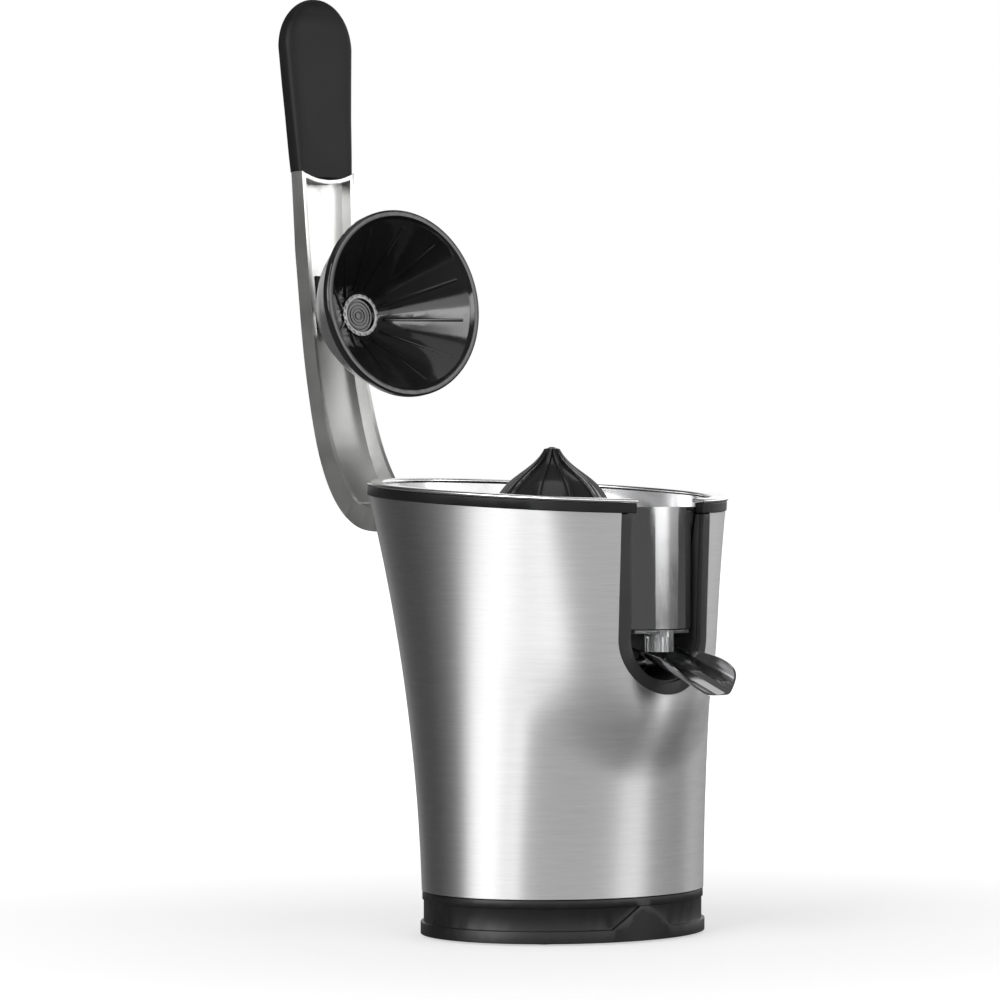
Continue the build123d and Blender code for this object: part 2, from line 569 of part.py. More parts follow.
def motor_parts():
    """Induction motor with its brackets, bearings, rotor, fan, and the start switch."""
    middle = (STATOR_LOW_Z + STATOR_HIGH_Z) / 2
    stack = STATOR_HIGH_Z - STATOR_LOW_Z
    stator = Pos(0, MOTOR_Y, middle) * Box(60, 54, stack)
    stator = fillet(stator.edges().filter_by(Axis.Z), 6.0)
    stator -= rod(15.6, 30, 90, ROTOR)
    for side in (-1, 1):
        window = Pos(side * 21.5, MOTOR_Y, middle) * Box(8.0, 34.0, stack + 2)
        stator -= window
        stator -= Pos(side * 24, MOTOR_Y + 21, middle) * Cylinder(2.1, stack + 2)
        stator -= Pos(side * 24, MOTOR_Y - 21, middle) * Cylinder(2.1, stack + 2)
    for step in range(5):
        seam = Pos(0, MOTOR_Y, STATOR_LOW_Z + 5.6 * (step + 1)) * Box(70, 64, 0.5)
        stator -= seam - (Pos(0, MOTOR_Y, middle) * Box(59.2, 53.2, 80))
    parts["stator_core"] = stator

    coils = []
    for side in (-1, 1):
        loop = Pos(side * 25.6, MOTOR_Y, middle) * Box(15.2, 33.2, stack + 12)
        loop = fillet(loop.edges().filter_by(Axis.Z), 3.0)
        loop -= Pos(side * 27.9, MOTOR_Y, middle) * Box(4.9, 40.0, stack + 0.1)
        loop -= Pos(side * 33.0, MOTOR_Y, middle) * Box(5.6, 40.0, stack + 20)
        loop -= Pos(side * 17.9, MOTOR_Y, middle) * Box(0.6, 40.0, stack + 20)
        coils.append(loop)
    parts["motor_coils"] = Compound(coils)

    core = rod(15.0, STATOR_LOW_Z + 1, STATOR_HIGH_Z - 1, ROTOR)
    core += rod(14.0, STATOR_LOW_Z - 2, STATOR_HIGH_Z + 2, ROTOR)
    for slot in range(16):
        turn = Pos(0, MOTOR_Y, middle) * Rot(0, 0, slot * 22.5)
        core -= turn * Pos(14.6, 0, 0) * Rot(14, 0, 0) * Box(1.6, 1.0, stack - 8)
    parts["rotor_core"] = core - rod(3.0, 30, 100, ROTOR)
    spindle = rod(2.5, 24.0, 116.2, ROTOR) + rod(3.0, 38.0, 84.0, ROTOR)
    parts["rotor_shaft"] = spindle

    fan = rod(6.0, 31.0, 38.0, ROTOR) + rod(25.0, 36.6, 38.0, ROTOR)
    for blade in range(9):
        turn = Pos(0, MOTOR_Y, 33.9) * Rot(0, 0, blade * 40)
        fan += turn * Pos(14.5, 0, 0) * Rot(0, 0, 18) * Box(18.0, 1.4, 6.2)
    fan &= rod(25.0, 20, 50, ROTOR)
    parts["cooling_fan"] = fan - rod(2.5, 20, 50, ROTOR)

    upper = Pos(0, MOTOR_Y, 87.2) * Box(56, 16, 3.0) + rod(11.0, 85.7, 92.7, ROTOR)
    lower = Pos(0, MOTOR_Y, 28.2) * Box(56, 16, 3.0) + rod(11.0, 24.2, 29.7, ROTOR)
    for x, y in [(-24, 21), (24, 21), (-24, -21), (24, -21)]:
        place = (x, MOTOR_Y + y)
        arm = Pos(x, MOTOR_Y + y / 2, 87.2) * Box(9.0, abs(y) + 6, 3.0)
        upper += arm + rod(4.0, STATOR_HIGH_Z, GEARBOX_FLOOR_Z, place)
        arm = Pos(x, MOTOR_Y + y / 2, 28.2) * Box(9.0, abs(y) + 6, 3.0)
        lower += arm + rod(4.0, 26.7, STATOR_LOW_Z, place)
        upper -= rod(2.1, 60, 96, place)
        lower -= rod(2.1, 20, 60, place)
    upper -= rod(8.0, 80, 91.2, ROTOR) + rod(3.4, 80, 99, ROTOR)
    lower -= rod(8.0, 25.7, 40, ROTOR) + rod(3.4, 20, 40, ROTOR)
    parts["motor_bracket_upper"] = upper
    parts["motor_bracket_lower"] = lower
    bearings = []
    for low in (86.2, 25.7):
        bearings.append(rod(8.0, low, low + 5.0, ROTOR) - rod(3.06 if low > 50 else 2.56, 20, 99, ROTOR))
    parts["motor_bearings"] = Compound(bearings)
    bolts = []
    for x, y in [(-24, 21), (24, 21), (-24, -21), (24, -21)]:
        bolt = Pos(x, MOTOR_Y + y, 26.7) * Rot(180, 0, 0) * screw(2.0, 68.0, 3.8, 1.8)
        bolts.append(bolt)
    parts["motor_bolts"] = Compound(bolts)

    body = block((-10.0, 10.0), (-2.2, 4.2), (84.5, 94.0))
    body -= block((-7.6, -2.4), (-1.6, 3.6), (92.8, 95.0))
    for x in (-7.5, 0.0, 7.5):
        body += block((x - 1.0, x + 1.0), (0.6, 1.2), (79.0, 84.6))
    body -= block((-1.9, 1.9), (-0.9, 2.9), (88.0, 95.0))
    parts["start_switch"] = body
    parts["switch_plunger"] = block((-1.8, 1.8), (-0.8, 2.8), (91.2, 96.6))


# ---- spout -----------------------------------------------------------------------------------
def spout_parts():
    """Pouring scoop: a sloping half-round trough cut to a rounded nose, on a cross axle."""
    slope = math.radians(SPOUT_SLOPE)
    length = 80.0
    floor_y, floor_z = -111.0, 131.5
    axis_y = floor_y + SPOUT_R * math.sin(slope) * -1
    axis_z = floor_z + SPOUT_R * math.cos(slope)
    tube = Cylinder(SPOUT_R, length) - Cylinder(SPOUT_R - SPOUT_SHEET, length + 2)
    trough = Pos(0, axis_y, axis_z) * Rot(90 + SPOUT_SLOPE, 0, 0) * tube
    rims = Spline((-130.2, 124.3), (-128.6, 127.6), (-123.2, 135.4), (-112.0, 142.0), (-96.0, 145.6),
                  (-83.0, 147.6), (-70.5, 149.4), tangents=((-0.1, 1.0), (1.0, 0.12)))
    window = closed_outline(rims, Line((-70.5, 149.4), (-70.5, 120.0)),
                            Line((-70.5, 120.0), (-130.2, 120.0)),
                            Line((-130.2, 120.0), (-130.2, 124.3)))
    scoop = trough & side_prism(window, 30)
    lug = block((-5.0, 5.0), (SPOUT_AXLE[0] - 3.0, SPOUT_AXLE[0] + 3.0), (SPOUT_AXLE[1], 145.0))
    lug -= Pos(0, axis_y, axis_z) * Rot(90 + SPOUT_SLOPE, 0, 0) * Cylinder(SPOUT_R - 0.4, length)
    scoop += lug
    scoop += cross_rod(3.0, -5.0, 5.0, *SPOUT_AXLE)
    scoop -= cross_rod(SPOUT_AXLE_R, -10, 10, *SPOUT_AXLE)
    parts["spout_scoop"] = scoop
    parts["spout_axle"] = cross_rod(SPOUT_AXLE_R, -22.6, 22.6, *SPOUT_AXLE)


# ---- lever, hinge and grip -------------------------------------------------------------------
def lever_side(inset_back, inset_front):
    """Side outline of the lever arm in Y-Z, from the eye to the grip."""
    b, f = inset_back, inset_front
    back = Spline((HINGE_Y, HINGE_Z - EYE_R + b), (128.5, 204.1 + b), (142.0 - b * 0.3, 205.8 + b),
                  (160.7 - b * 0.7, 216.1 + b * 0.7), (179.5 - b * 0.9, 242.7 + b * 0.4),
                  (190.5 - b, 275.5), (198.0 - b, 310.0), (203.6 - b, 350.0),
                  (LEVER_TOP_BACK - b, LEVER_TOP_Z), tangents=((1.0, 0.0), (0.05, 1.0)))
    front = Spline((LEVER_TOP_FRONT + f, LEVER_TOP_Z), (191.8 + f, 345.0), (185.6 + f, 303.0),
                   (178.6 + f, 275.0), (165.2 + f, 243.0), (155.0 + f, 228.6),
                   (146.0, 219.8), (134.0, 216.6), (HINGE_Y, 216.6),
                   tangents=((-0.05, -1.0), (-1.0, 0.0)))
    top = Line((LEVER_TOP_BACK - b, LEVER_TOP_Z), (LEVER_TOP_FRONT + f, LEVER_TOP_Z))
    return closed_outline(back, top, front,
                          Line((HINGE_Y, 216.6), (HINGE_Y, HINGE_Z - EYE_R + b)))


def lever_width(inset):
    """Front view of the lever: slim, a little wider at the hinge and where the grip begins."""
    rows = ((LEVER_HALF_LOW - inset, 180.0), (LEVER_HALF_HINGE - inset, HINGE_Z),
            (LEVER_HALF_WAIST - inset, LEVER_WAIST_Z), (LEVER_HALF_TOP - inset, LEVER_TOP_Z))
    right = Spline(*rows)
    left = Spline(*[(-half, z) for half, z in reversed(rows)])
    top = Line(rows[-1], (-rows[-1][0], LEVER_TOP_Z))
    bottom = Line((-rows[0][0], 180.0), rows[0])
    return front_prism(closed_outline(right, top, left, bottom), 80, 240)


def lever_parts():
    """Channel lever with its tang, grip, hinge bracket, pin, bushes and caps."""
    bumper_slot = block((-6.2, 6.2), (192, 210), (326, 344))
    arm = side_prism(lever_side(0, 0), 30) & lever_width(0)
    arm += cross_rod(EYE_R, -LEVER_HALF_HINGE, LEVER_HALF_HINGE, HINGE_Y, HINGE_Z)
    hollow = side_prism(lever_side(LEVER_WALL, -40), 30) & lever_width(LEVER_WALL)
    brow = Pos(0, GRIP_ARC_Z) * Circle(GRIP_ARC_R + 2.2)
    arm -= hollow - front_prism(brow, 150, 230)
    arm -= block((-14.3, 14.3), (90, 131.0), (195, 232))
    arm -= cross_rod(12.6, -14.3, 14.3, HINGE_Y, HINGE_Z)
    sag = Pos(0, GRIP_ARC_Z) * Circle(GRIP_ARC_R)
    arm -= front_prism(sag, 180, 230)
    arm += block(*TANG)
    ears = cross_rod(5.4, -9.2, 9.2, *CUP_PIVOT)
    ears += block((-9.2, 9.2), (CUP_PIVOT[0], 199.2), (CUP_PIVOT[1] - 5.4, CUP_PIVOT[1] + 5.4))
    ears -= block((-6.2, 6.2), (180, 197.0), (300, 340))
    arm += ears & side_prism(lever_side(0.4, -30), 30)
    arm -= cross_rod(2.2, -20, 20, *CUP_PIVOT) & block((-9.3, 9.3), (180, 200), (300, 340))
    arm -= bumper_slot
    arm -= cross_rod(4.6, -30, 30, HINGE_Y, HINGE_Z)
    parts["lever_arm"] = arm

    bumper = side_prism(lever_side(0.3, 0), 30) & bumper_slot
    bumper -= side_prism(lever_side(LEVER_WALL + 0.8, -40), 30)
    parts["cup_bumper"] = bumper

    sleeves = []
    caps = []
    for side in (-1, 1):
        low, high = sorted((side * 14.4, side * 17.9))
        sleeve = cross_rod(4.6, low, high, HINGE_Y, HINGE_Z)
        sleeves.append(sleeve - cross_rod(HINGE_PIN_R + 0.05, -30, 30, HINGE_Y, HINGE_Z))
        low, high = sorted((side * 18.2, side * 20.2))
        cap = cross_rod(6.2, low, high, HINGE_Y, HINGE_Z)
        caps.append(cap)
    parts["hinge_bushes"] = Compound(sleeves)
    parts["hinge_caps"] = Compound(caps)
    parts["hinge_pin"] = cross_rod(HINGE_PIN_R, -17.9, 17.9, HINGE_Y, HINGE_Z)

    knuckle = cross_rod(8.6, -KNUCKLE_HALF, KNUCKLE_HALF, HINGE_Y, HINGE_Z)
    knuckle += block((-KNUCKLE_HALF, KNUCKLE_HALF), (96.5, HINGE_Y), (204.8, HINGE_Z + 4.0))
    flange = flared(SHEET + 0.15, fraction(150), 1.0) - flared(HOUSING_IN, fraction(140), 1.01)
    flange &= block((-BRACKET_HALF, BRACKET_HALF), (60, 120), (BRACKET_LOW, BRACKET_HIGH))
    bracket = flange + (knuckle - flared(HOUSING_IN, fraction(140), 1.01))
    bracket -= cross_rod(HINGE_PIN_R, -30, 30, HINGE_Y, HINGE_Z)
    band = flared(SHEET + 0.15, fraction(150), 1.0)
    band -= flared(HOUSING_IN + HOUSING_WALL, fraction(140), 1.01)
    rivets = []
    for x, z in RIVETS:
        bar = back_rod(2.0, 60, 120, x, z)
        bracket -= bar
        rivets.append(bar & band)
    parts["hinge_bracket"] = bracket
    parts["bracket_rivets"] = Compound(rivets)

    parts["cup_pivot_pin"] = cross_rod(2.2, -9.2, 9.2, *CUP_PIVOT)

    arc_r = GRIP_ARC_R - 0.05
    low, wide = GRIP_HALF_LOW, GRIP_HALF_TOP
    arc_end_z = GRIP_ARC_Z - math.sqrt(arc_r ** 2 - low ** 2)
    crown = Spline((wide, 470.0), (wide * 0.76, 487.8), (0, 497.0), (-wide * 0.76, 487.8), (-wide, 470.0),
                   tangents=((0.0, 1.0), (0.0, -1.0)))
    face = closed_outline(Line((-wide, 470.0), (-low, arc_end_z)),
                          ThreePointArc((-low, arc_end_z), (0, GRIP_ARC_Z - arc_r), (low, arc_end_z)),
                          Line((low, arc_end_z), (wide, 470.0)), crown)
    front_line = Spline((196.3, 390.0), (198.6, 430.0), (201.6, 470.0), (203.8, 489.0),
                        tangents=((0.0, 1.0), (0.15, 1.0)))
    top_line = ThreePointArc((203.8, 489.0), (209.4, 497.4), (215.0, 489.0))
    back_line = Spline((215.0, 489.0), (216.2, 470.0), (213.2, 436.0), (207.9, 390.0),
                       tangents=((0.15, -1.0), (-0.1, -1.0)))
    side = closed_outline(front_line, top_line, back_line, Line((207.9, 390.0), (196.3, 390.0)))
    grip = side_prism(side, 30) & front_prism(face, 190, 225)
    grip -= block(*TANG)
    parts["handle_grip"] = grip


# ---- pressing cup ----------------------------------------------------------------------------
def in_cup(shape):
    """Place a shape drawn with the mouth at z = 0 and the apex up onto the lever."""
    tilt = math.radians(CUP_LIFT)
    axis = (0, math.cos(tilt), -math.sin(tilt))
    plane = Plane(origin=(0, *CUP_CENTRE), x_dir=(1, 0, 0), z_dir=axis)
    return plane.location * shape


def cup_parts():
    """Ribbed black liner, silver dome with its lug, the hub screw and its lock ring."""
    liner = turned([(CUP_R - 3.4, 0), (CUP_R - 0.8, 0), (CUP_R, 0.8), (CUP_R, 4.2), (47.6, 4.2),
                    (44.8, 7.0), (13.0, 43.6), (9.6, 46.0), (4.2, 46.0), (4.2, 43.4), (9.4, 43.4),
                    (12.2, 41.0), (43.6, 5.2), (45.6, 3.0), (46.4, 2.2)])
    rib = make_face(Polyline((14.0, 37.4), (14.0, 41.0), (43.0, 7.2), (43.0, 5.0), close=True))
    rib_solid = extrude(Plane.XZ * rib, amount=0.7, both=True)
    for step in range(12):
        liner += Rot(0, 0, step * 30 + 10) * rib_solid
    parts["cup_liner"] = in_cup(liner)

    outside = Spline((49.4, 4.4), (47.4, 10.0), (43.0, 20.0), (37.0, 30.0), (29.8, 40.0), (20.8, 50.0),
                     tangents=((-0.15, 1.0), (-0.7, 1.0)))
    crown = ThreePointArc((20.8, 50.0), (18.0, 52.6), (14.5, 53.6))
    inside = Spline((10.5, 52.2), (18.8, 49.6), (28.4, 39.4), (35.6, 29.4), (41.6, 19.6), (46.0, 10.0),
                    (47.9, 4.4), tangents=((1.0, -0.12), (0.12, -1.0)))
    dome = revolve(Plane.XZ * closed_outline(outside, crown, Line((14.5, 53.6), (0, 53.6)),
                                            Line((0, 53.6), (0, 52.2)), Line((0, 52.2), (10.5, 52.2)),
                                            inside, Line((47.9, 4.4), (49.4, 4.4))), Axis.Z)
    dome += rod(7.0, 46.1, 53.0)
    lug = block((-5.9, 5.9), (-5.2, 5.2), (52.6, CUP_PIVOT_DEPTH))
    lug += cross_rod(5.2, -5.9, 5.9, 0, CUP_PIVOT_DEPTH)
    lug -= cross_rod(2.26, -10, 10, 0, CUP_PIVOT_DEPTH)
    dome += lug
    dome -= rod(2.0, 40, 53)
    parts["cup_dome"] = in_cup(dome)

    hub = rod(9.0, 42.0, 43.4) + rod(4.2, 43.4, 46.1) + rod(2.0, 46.0, 52.0)
    for outer, inner in ((7.4, 5.6), (3.8, 2.2)):
        hub -= rod(outer, 41.0, 42.6) - rod(inner, 40.0, 43.0)
    parts["cup_hub_screw"] = in_cup(hub)

    lock_ring = rod(11.6, 40.3, 41.4) - rod(9.2, 40.0, 42.0)
    for step in range(18):
        lock_ring -= Rot(0, 0, step * 20) * Pos(11.6, 0, 40.3) * Box(2.4, 1.5, 1.0)
    parts["cup_lock_ring"] = in_cup(lock_ring)


base_parts()
shell_parts()
tank_parts()
cone_part()
drive_parts()
motor_parts()
spout_parts()
lever_parts()
cup_parts()

for name, shape in parts.items():
    export_step(shape, f"parts/{name}.step")
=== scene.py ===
import json
import math

import bmesh
import bpy
from mathutils import Matrix, Vector


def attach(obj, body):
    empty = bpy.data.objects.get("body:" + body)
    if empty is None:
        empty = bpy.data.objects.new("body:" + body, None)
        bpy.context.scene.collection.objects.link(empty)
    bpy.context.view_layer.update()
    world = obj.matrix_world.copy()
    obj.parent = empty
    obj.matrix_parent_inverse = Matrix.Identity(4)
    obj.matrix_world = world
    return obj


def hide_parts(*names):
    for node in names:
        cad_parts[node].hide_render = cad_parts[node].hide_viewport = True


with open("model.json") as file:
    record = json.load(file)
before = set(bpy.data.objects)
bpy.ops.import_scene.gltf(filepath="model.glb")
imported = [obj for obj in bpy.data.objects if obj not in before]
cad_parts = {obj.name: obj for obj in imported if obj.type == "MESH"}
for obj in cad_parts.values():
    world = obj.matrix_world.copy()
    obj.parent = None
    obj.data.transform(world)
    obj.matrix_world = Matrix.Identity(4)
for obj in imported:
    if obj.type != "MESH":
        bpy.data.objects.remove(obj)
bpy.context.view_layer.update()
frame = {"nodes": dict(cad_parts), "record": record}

NODES = frame["nodes"]
MM = 0.001
BODY_OF = {node: body for body, nodes in frame["record"]["behaviour"]["bodies"].items() for node in nodes}
MIX_FIRST, MIX_SECOND, MIX_RESULT = 6, 7, 2     # colour sockets of a Mix node


# ---- node helpers ------------------------------------------------------------------------------
def set_inputs(node, values):
    for key, value in values.items():
        node.inputs[key].default_value = value


class Graph:
    """A node tree, and the calls that the finishes and the studio share."""

    def __init__(self, tree):
        self.tree = tree

    def add(self, kind, values=None, **settings):
        """New node with its settings, and the values of inputs that stay unlinked."""
        node = self.tree.nodes.new(kind)
        for key, value in settings.items():
            setattr(node, key, value)
        set_inputs(node, values or {})
        return node

    def link(self, output, target):
        self.tree.links.new(output, target)

    def compute(self, operation, first, second):
        """Output of a Math node; the second value may be a plain number."""
        node = self.add("ShaderNodeMath", operation=operation)
        self.link(first, node.inputs[0])
        if isinstance(second, float):
            node.inputs[1].default_value = second
        else:
            self.link(second, node.inputs[1])
        return node.outputs[0]

    def parts(self, vector):
        """The vector's X, Y and Z."""
        split = self.add("ShaderNodeSeparateXYZ")
        self.link(vector, split.inputs["Vector"])
        return split.outputs

    def span(self, value, low, high, from_low=0.3, from_high=0.7, **settings):
        """The value's stretch from from_low to from_high, spread over low to high."""
        node = self.add("ShaderNodeMapRange", {"From Min": from_low, "From Max": from_high,
                                               "To Min": low, "To Max": high}, **settings)
        self.link(value, node.inputs["Value"])
        return node.outputs["Result"]

    def blend(self, factor, first, second):
        """Colour between the first and the second, each a colour or an output."""
        node = self.add("ShaderNodeMix", data_type="RGBA")
        self.link(factor, node.inputs["Factor"])
        for socket, value in ((node.inputs[MIX_FIRST], first), (node.inputs[MIX_SECOND], second)):
            if isinstance(value, tuple):
                socket.default_value = (*value, 1.0)
            else:
                self.link(value, socket)
        return node.outputs[MIX_RESULT]

    def surface(self, lighting, seen, output):
        """The camera sees one shader, and all other rays meet the one for lighting."""
        mix = self.add("ShaderNodeMixShader")
        self.link(self.add("ShaderNodeLightPath").outputs["Is Camera Ray"], mix.inputs["Fac"])
        self.link(lighting, mix.inputs[1])
        self.link(seen, mix.inputs[2])
        self.link(mix.outputs["Shader"], output.inputs["Surface"])


class Paint(Graph):
    """A new material on one principled shader."""

    def __init__(self, name, color, roughness, metallic=0.0, **inputs):
        self.material = bpy.data.materials.new(name)
        self.material.use_nodes = True
        super().__init__(self.material.node_tree)
        self.shader = self.tree.nodes["Principled BSDF"]
        set_inputs(self.shader, {"Base Color": (*color, 1.0), "Roughness": roughness,
                                 "Metallic": metallic, **inputs})
        self.place = self.add("ShaderNodeTexCoord").outputs["Object"]

    def stretched(self, scale):
        node = self.add("ShaderNodeMapping", {"Scale": scale})
        self.link(self.place, node.inputs["Vector"])
        return node.outputs["Vector"]

    def noise(self, vector, scale, detail=2.0, roughness=0.5):
        node = self.add("ShaderNodeTexNoise", {"Scale": scale, "Detail": detail, "Roughness": roughness})
        self.link(vector, node.inputs["Vector"])
        return node.outputs["Fac"]

    def mixed(self, first, second, share):
        """Sum of two patterns, of which the first has this share."""
        return self.compute("ADD", self.compute("MULTIPLY", first, share),
                            self.compute("MULTIPLY", second, 1.0 - share))

    def color(self, output):
        self.link(output, self.shader.inputs["Base Color"])

    def roughness(self, output):
        self.link(output, self.shader.inputs["Roughness"])

    def bump(self, height, strength, distance):
        node = self.add("ShaderNodeBump", {"Strength": strength, "Distance": distance})
        self.link(height, node.inputs["Height"])
        self.link(node.outputs["Normal"], self.shader.inputs["Normal"])

    def around(self, turns, up):
        """Coordinates that run round the upright axis, so that marks lie level."""
        place = self.parts(self.place)
        angle = self.compute("ARCTAN2", place["Y"], place["X"])
        join = self.add("ShaderNodeCombineXYZ")
        self.link(self.compute("MULTIPLY", angle, turns), join.inputs["X"])
        self.link(self.compute("MULTIPLY", place["Z"], up), join.inputs["Z"])
        return join.outputs["Vector"]


# ---- finishes ----------------------------------------------------------------------------------
def scaled(color, factor, lift=0.0):
    return tuple(min(1.0, channel * factor + lift) for channel in color)


def moulded(name, color, roughness, grain=900.0, depth=0.25, spread=0.06, specular=0.5):
    """Moulded plastic or rubber: fine grain, slight cloudiness and a few polished patches."""
    paint = Paint(name, color, roughness, **{"Specular IOR Level": specular})
    fine = paint.noise(paint.place, grain, detail=2.0, roughness=0.6)
    broad = paint.noise(paint.place, scale=22.0, detail=3.0, roughness=0.55)
    paint.color(paint.blend(paint.span(broad, 0.0, 1.0), color, scaled(color, 1.35, lift=0.003)))
    paint.roughness(paint.span(broad, roughness - spread, roughness + spread))
    paint.bump(fine, depth, distance=0.00006)
    return paint.material


def brushed(name, color, roughness, turns, up, anisotropic, contrast=0.06, depth=0.12):
    """Steel brushed along level lines round the upright axis."""
    paint = Paint(name, color, roughness, 1.0, Anisotropic=anisotropic)
    lines = paint.noise(paint.around(turns, up), scale=1.0, detail=4.0, roughness=0.75)
    long_lines = paint.noise(paint.around(turns * 0.35, up * 0.22), scale=1.0, detail=3.0, roughness=0.7)
    both = paint.mixed(lines, long_lines, share=0.6)
    paint.color(paint.blend(paint.span(both, 0.0, 1.0, from_low=0.35, from_high=0.65),
                            scaled(color, 1.0 - contrast * 2.0), scaled(color, 1.0 + contrast)))
    paint.roughness(paint.span(both, roughness - 0.04, roughness + 0.07, from_low=0.35, from_high=0.65))
    paint.bump(lines, depth, distance=0.00004)
    tangent = paint.add("ShaderNodeTangent", direction_type="RADIAL", axis="Z")
    paint.shader.inputs["Anisotropic Rotation"].default_value = 0.25
    paint.link(tangent.outputs["Tangent"], paint.shader.inputs["Tangent"])
    return paint.material


def polished(name, color, roughness, scratches):
    """Polished metal with faint smudges and hair scratches."""
    paint = Paint(name, color, roughness, 1.0)
    smudge = paint.noise(paint.place, scale=38.0, detail=4.0, roughness=0.6)
    hair = paint.noise(paint.stretched((1.0, 1.0, 0.04)), scale=2600.0)
    paint.roughness(paint.compute("ADD", paint.span(smudge, roughness * 0.7, roughness * 1.5),
                                  paint.span(hair, 0.0, scratches, from_low=0.62, from_high=0.75)))
    paint.color(paint.blend(paint.span(smudge, 0.0, 1.0), color, scaled(color, 0.9)))
    paint.bump(hair, strength=0.03, distance=0.00003)
    return paint.material


def cast(name, color, roughness, grain=700.0, depth=0.35):
    """Satin cast or blasted metal: fine pebbled grain and cloudy tone."""
    paint = Paint(name, color, roughness, 1.0)
    fine = paint.noise(paint.place, grain, detail=3.0, roughness=0.65)
    cloud = paint.noise(paint.place, scale=30.0, detail=4.0, roughness=0.6)
    mottled = paint.mixed(cloud, fine, share=0.7)
    paint.color(paint.blend(paint.span(mottled, 0.0, 1.0), scaled(color, 0.86), color))
    paint.roughness(paint.span(mottled, roughness - 0.05, roughness + 0.08))
    paint.bump(fine, depth, distance=0.00008)
    return paint.material


def striped(name, color, dark, roughness, metallic, scale):
    """Stacked sheets or wound wire: thin dark gaps one above the other."""
    paint = Paint(name, color, roughness, metallic)
    bands = paint.add("ShaderNodeTexWave", {"Scale": scale, "Distortion": 0.4, "Detail": 1.0},
                      wave_type="BANDS", bands_direction="Z")
    paint.link(paint.place, bands.inputs["Vector"])
    tone = paint.noise(paint.place, scale=120.0)
    level = paint.compute("MULTIPLY", bands.outputs["Fac"], paint.span(tone, 0.75, 1.0))
    paint.color(paint.blend(level, dark, color))
    paint.roughness(paint.span(level, roughness + 0.1, roughness, from_low=0.0, from_high=1.0))
    paint.bump(bands.outputs["Fac"], strength=0.5, distance=0.0001)
    return paint.material


def clear(name, color, roughness):
    """Clear moulded plastic with slight waviness."""
    paint = Paint(name, color, roughness, **{"IOR": 1.49, "Transmission Weight": 0.92})
    wave = paint.noise(paint.place, scale=160.0)
    paint.roughness(paint.span(wave, roughness * 0.6, roughness * 1.6))
    paint.bump(wave, strength=0.15, distance=0.0003)
    return paint.material


STEEL = brushed("brushed_steel", (0.70, 0.70, 0.705), 0.40, turns=5.0, up=1500.0, anisotropic=0.94)
LIP = polished("polished_lip", (0.80, 0.80, 0.80), 0.12, scratches=0.05)
TANK = polished("polished_tank", (0.50, 0.50, 0.505), 0.11, scratches=0.12)
CHROME = polished("polished_spout", (0.62, 0.62, 0.63), 0.09, scratches=0.05)
DARK_STEEL = polished("dark_steel", (0.22, 0.22, 0.22), 0.30, scratches=0.10)
RIM_BLACK = moulded("rim_black", (0.007, 0.007, 0.007), 0.34, specular=0.3)
BASE_BLACK = moulded("base_black", (0.007, 0.007, 0.008), 0.36, specular=0.3)
FRAME_GREY = moulded("frame_grey", (0.022, 0.022, 0.023), 0.42, specular=0.35)
NICHE_BLACK = moulded("niche_black", (0.010, 0.010, 0.010), 0.45)
GRIP_BLACK = moulded("grip_black", (0.0060, 0.0060, 0.0063), 0.50, grain=1300.0, depth=0.4, specular=0.22)
CUP_BLACK = moulded("cup_black", (0.008, 0.008, 0.008), 0.10, grain=300.0, depth=0.05, spread=0.03)
CONE_BLACK = moulded("cone_black", (0.010, 0.010, 0.010), 0.16, grain=300.0, depth=0.05, spread=0.04)
RUBBER = moulded("rubber_black", (0.016, 0.016, 0.016), 0.75, grain=500.0, depth=0.4)
ALUMINIUM = cast("cast_aluminium", (0.62, 0.62, 0.61), 0.34)
SILVER = cast("satin_silver", (0.66, 0.66, 0.66), 0.26, grain=1200.0, depth=0.12)
PLATED = cast("zinc_plate", (0.56, 0.56, 0.54), 0.32, grain=1500.0, depth=0.1)
BRONZE = cast("sintered_bronze", (0.55, 0.38, 0.18), 0.45, grain=1600.0, depth=0.4)
CLEAR = clear("clear_plastic", (0.93, 0.95, 0.95), 0.06)
WHITE = moulded("white_plastic", (0.72, 0.71, 0.67), 0.42, grain=700.0, depth=0.15)
GREY = moulded("grey_plastic", (0.10, 0.10, 0.105), 0.5, grain=500.0, depth=0.3)
CORE = striped("laminated_core", (0.30, 0.30, 0.31), (0.06, 0.06, 0.06), 0.45, metallic=0.9, scale=320.0)
WIRE = striped("copper_winding", (0.62, 0.24, 0.08), (0.16, 0.05, 0.02), 0.3, metallic=0.8, scale=480.0)

FINISH = {
    STEEL: "outer_shell",
    LIP: "rim_trim",
    TANK: "juice_tank tank_channel",
    CHROME: "spout_scoop",
    RIM_BLACK: "top_collar",
    BASE_BLACK: "base_ring base_cover start_switch",
    FRAME_GREY: "recess_frame",
    NICHE_BLACK: "recess_lining",
    GRIP_BLACK: "handle_grip",
    CUP_BLACK: "cup_liner cup_hub_screw",
    CONE_BLACK: "reamer_cone strainer",
    RUBBER: "rubber_feet cord_inlet outlet_seal shaft_seal cup_bumper",
    ALUMINIUM: "lever_arm hinge_bracket hinge_caps",
    SILVER: "cup_dome motor_bracket_upper motor_bracket_lower",
    DARK_STEEL: "cup_lock_ring",
    PLATED: "base_screws drive_shaft spring_collar return_spring motor_pinion idler_axle "
            "gearbox_screws hanger_screws rotor_shaft motor_bolts spout_axle hinge_pin "
            "bracket_rivets cup_pivot_pin",
    BRONZE: "gear_bushes motor_bearings",
    CLEAR: "outlet_nozzle",
    WHITE: "shaft_bush idler_gear output_gear switch_plunger hinge_bushes",
    GREY: "inner_housing gearbox_tray gearbox_cover cooling_fan",
    CORE: "stator_core rotor_core",
    WIRE: "motor_coils",
}
